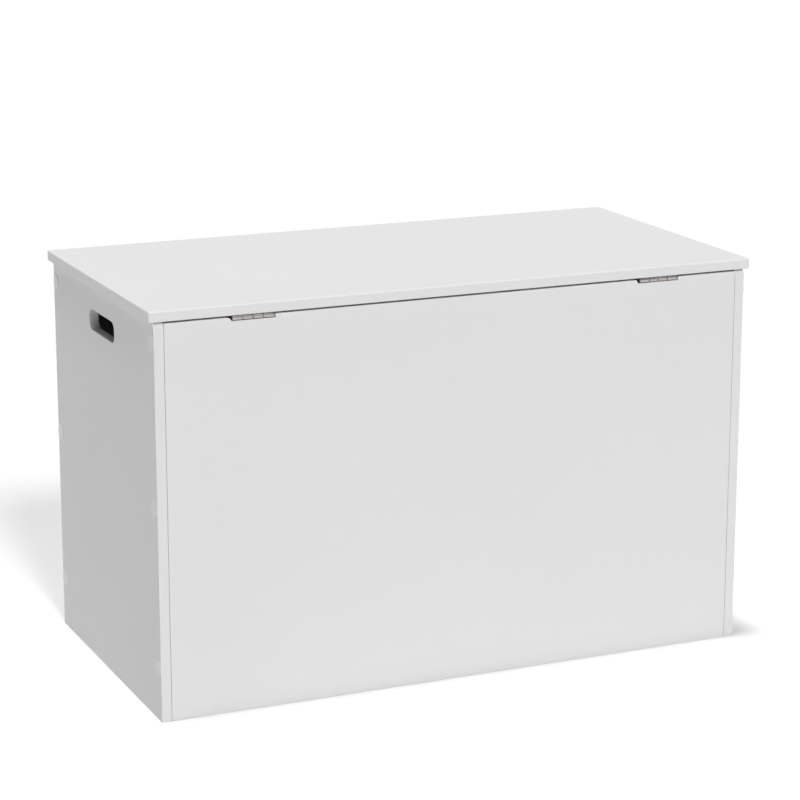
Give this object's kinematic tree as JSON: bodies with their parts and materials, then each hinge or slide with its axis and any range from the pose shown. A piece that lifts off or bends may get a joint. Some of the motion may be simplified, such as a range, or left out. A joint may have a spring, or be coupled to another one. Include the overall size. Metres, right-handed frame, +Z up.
{
  "type": "toy box",
  "caption": "White board toy box with a lid on rear butt hinges, friction lid stays inside, hand slots in both ends and a finger gap at the front.",
  "frame": {"origin": "on the floor, under the middle of the closed lid", "axes": "+X along the box's width, to the right seen from the front; +Y from front to back, where the hinges are; +Z up"},
  "size_m": [0.762, 0.39, 0.48],
  "materials": {
    "white_board": "satin white lacquer on fibreboard",
    "cap_white": "satin moulded",
    "hinge_nickel": "nickel plated",
    "screw_zinc": "zinc plated",
    "stay_zinc": "zinc plated",
    "housing_grey": "moulded, fine texture"
  },
  "bodies": {
    "box": {"back_panel": "white_board", "bottom_panel": "white_board", "corner_screw_left_back_bottom": "screw_zinc", "corner_screw_left_back_middle": "screw_zinc", "corner_screw_left_back_top": "screw_zinc", "corner_screw_left_front_bottom": "screw_zinc", "corner_screw_left_front_middle": "screw_zinc", "corner_screw_left_front_top": "screw_zinc", "corner_screw_right_back_bottom": "screw_zinc", "corner_screw_right_back_middle": "screw_zinc", "corner_screw_right_back_top": "screw_zinc", "corner_screw_right_front_bottom": "screw_zinc", "corner_screw_right_front_middle": "screw_zinc", "corner_screw_right_front_top": "screw_zinc", "front_panel": "white_board", "hinge_leaf_back_left": "hinge_nickel", "hinge_leaf_back_right": "hinge_nickel", "hinge_pin_left": "hinge_nickel", "hinge_pin_right": "hinge_nickel", "hinge_screw_back_left_inner": "hinge_nickel", "hinge_screw_back_left_outer": "hinge_nickel", "hinge_screw_back_right_inner": "hinge_nickel", "hinge_screw_back_right_outer": "hinge_nickel", "screw_cap_left_back_bottom": "cap_white", "screw_cap_left_back_middle": "cap_white", "screw_cap_left_back_top": "cap_white", "screw_cap_left_front_bottom": "cap_white", "screw_cap_left_front_middle": "cap_white", "screw_cap_left_front_top": "cap_white", "screw_cap_right_back_bottom": "cap_white", "screw_cap_right_back_middle": "cap_white", "screw_cap_right_back_top": "cap_white", "screw_cap_right_front_bottom": "cap_white", "screw_cap_right_front_middle": "cap_white", "screw_cap_right_front_top": "cap_white", "side_panel_left": "white_board", "side_panel_right": "white_board", "stay_bolt_left": "stay_zinc", "stay_bolt_right": "stay_zinc", "stay_housing_left": "housing_grey", "stay_housing_right": "housing_grey"},
    "lid": {"hinge_leaf_lid_left": "hinge_nickel", "hinge_leaf_lid_right": "hinge_nickel", "hinge_screw_lid_left_inner": "hinge_nickel", "hinge_screw_lid_left_outer": "hinge_nickel", "hinge_screw_lid_right_inner": "hinge_nickel", "hinge_screw_lid_right_outer": "hinge_nickel", "lid_panel": "white_board", "stay_bracket_left": "stay_zinc", "stay_bracket_right": "stay_zinc", "stay_lid_rivet_left": "stay_zinc", "stay_lid_rivet_right": "stay_zinc"},
    "lower_arm_right": {"stay_lower_arm_right": "stay_zinc", "stay_elbow_rivet_right": "stay_zinc"},
    "upper_arm_right": {"stay_upper_arm_right": "stay_zinc"},
    "lower_arm_left": {"stay_lower_arm_left": "stay_zinc", "stay_elbow_rivet_left": "stay_zinc"},
    "upper_arm_left": {"stay_upper_arm_left": "stay_zinc"}
  },
  "joints": [
    {"name": "lid_hinge", "type": "hinge", "parent": "box", "child": "lid", "pos_m": [0, 0.19, 0.4645], "axis": [-1, 0, 0], "range_deg": [0, 90]},
    {"name": "lower_arm_pivot_right", "type": "hinge", "parent": "box", "child": "lower_arm_right", "pos_m": [0.348, 0.148, 0.3145], "axis": [-1, 0, 0], "range_deg": [0, 90]},
    {"name": "upper_arm_pivot_right", "type": "hinge", "parent": "lid", "child": "upper_arm_right", "pos_m": [0.3455, 0.08, 0.452], "axis": [-1, 0, 0], "range_deg": [-90, 0]},
    {"name": "lower_arm_pivot_left", "type": "hinge", "parent": "box", "child": "lower_arm_left", "pos_m": [-0.348, 0.148, 0.3145], "axis": [-1, 0, 0], "range_deg": [0, 90]},
    {"name": "upper_arm_pivot_left", "type": "hinge", "parent": "lid", "child": "upper_arm_left", "pos_m": [-0.3455, 0.08, 0.452], "axis": [-1, 0, 0], "range_deg": [-90, 0]}
  ],
  "couplings": [
    {"joint": "lower_arm_pivot_right", "follows": "lid_hinge", "ratio": 1},
    {"joint": "upper_arm_pivot_right", "follows": "lid_hinge", "ratio": -1},
    {"joint": "lower_arm_pivot_left", "follows": "lid_hinge", "ratio": 1},
    {"joint": "upper_arm_pivot_left", "follows": "lid_hinge", "ratio": -1}
  ]
}
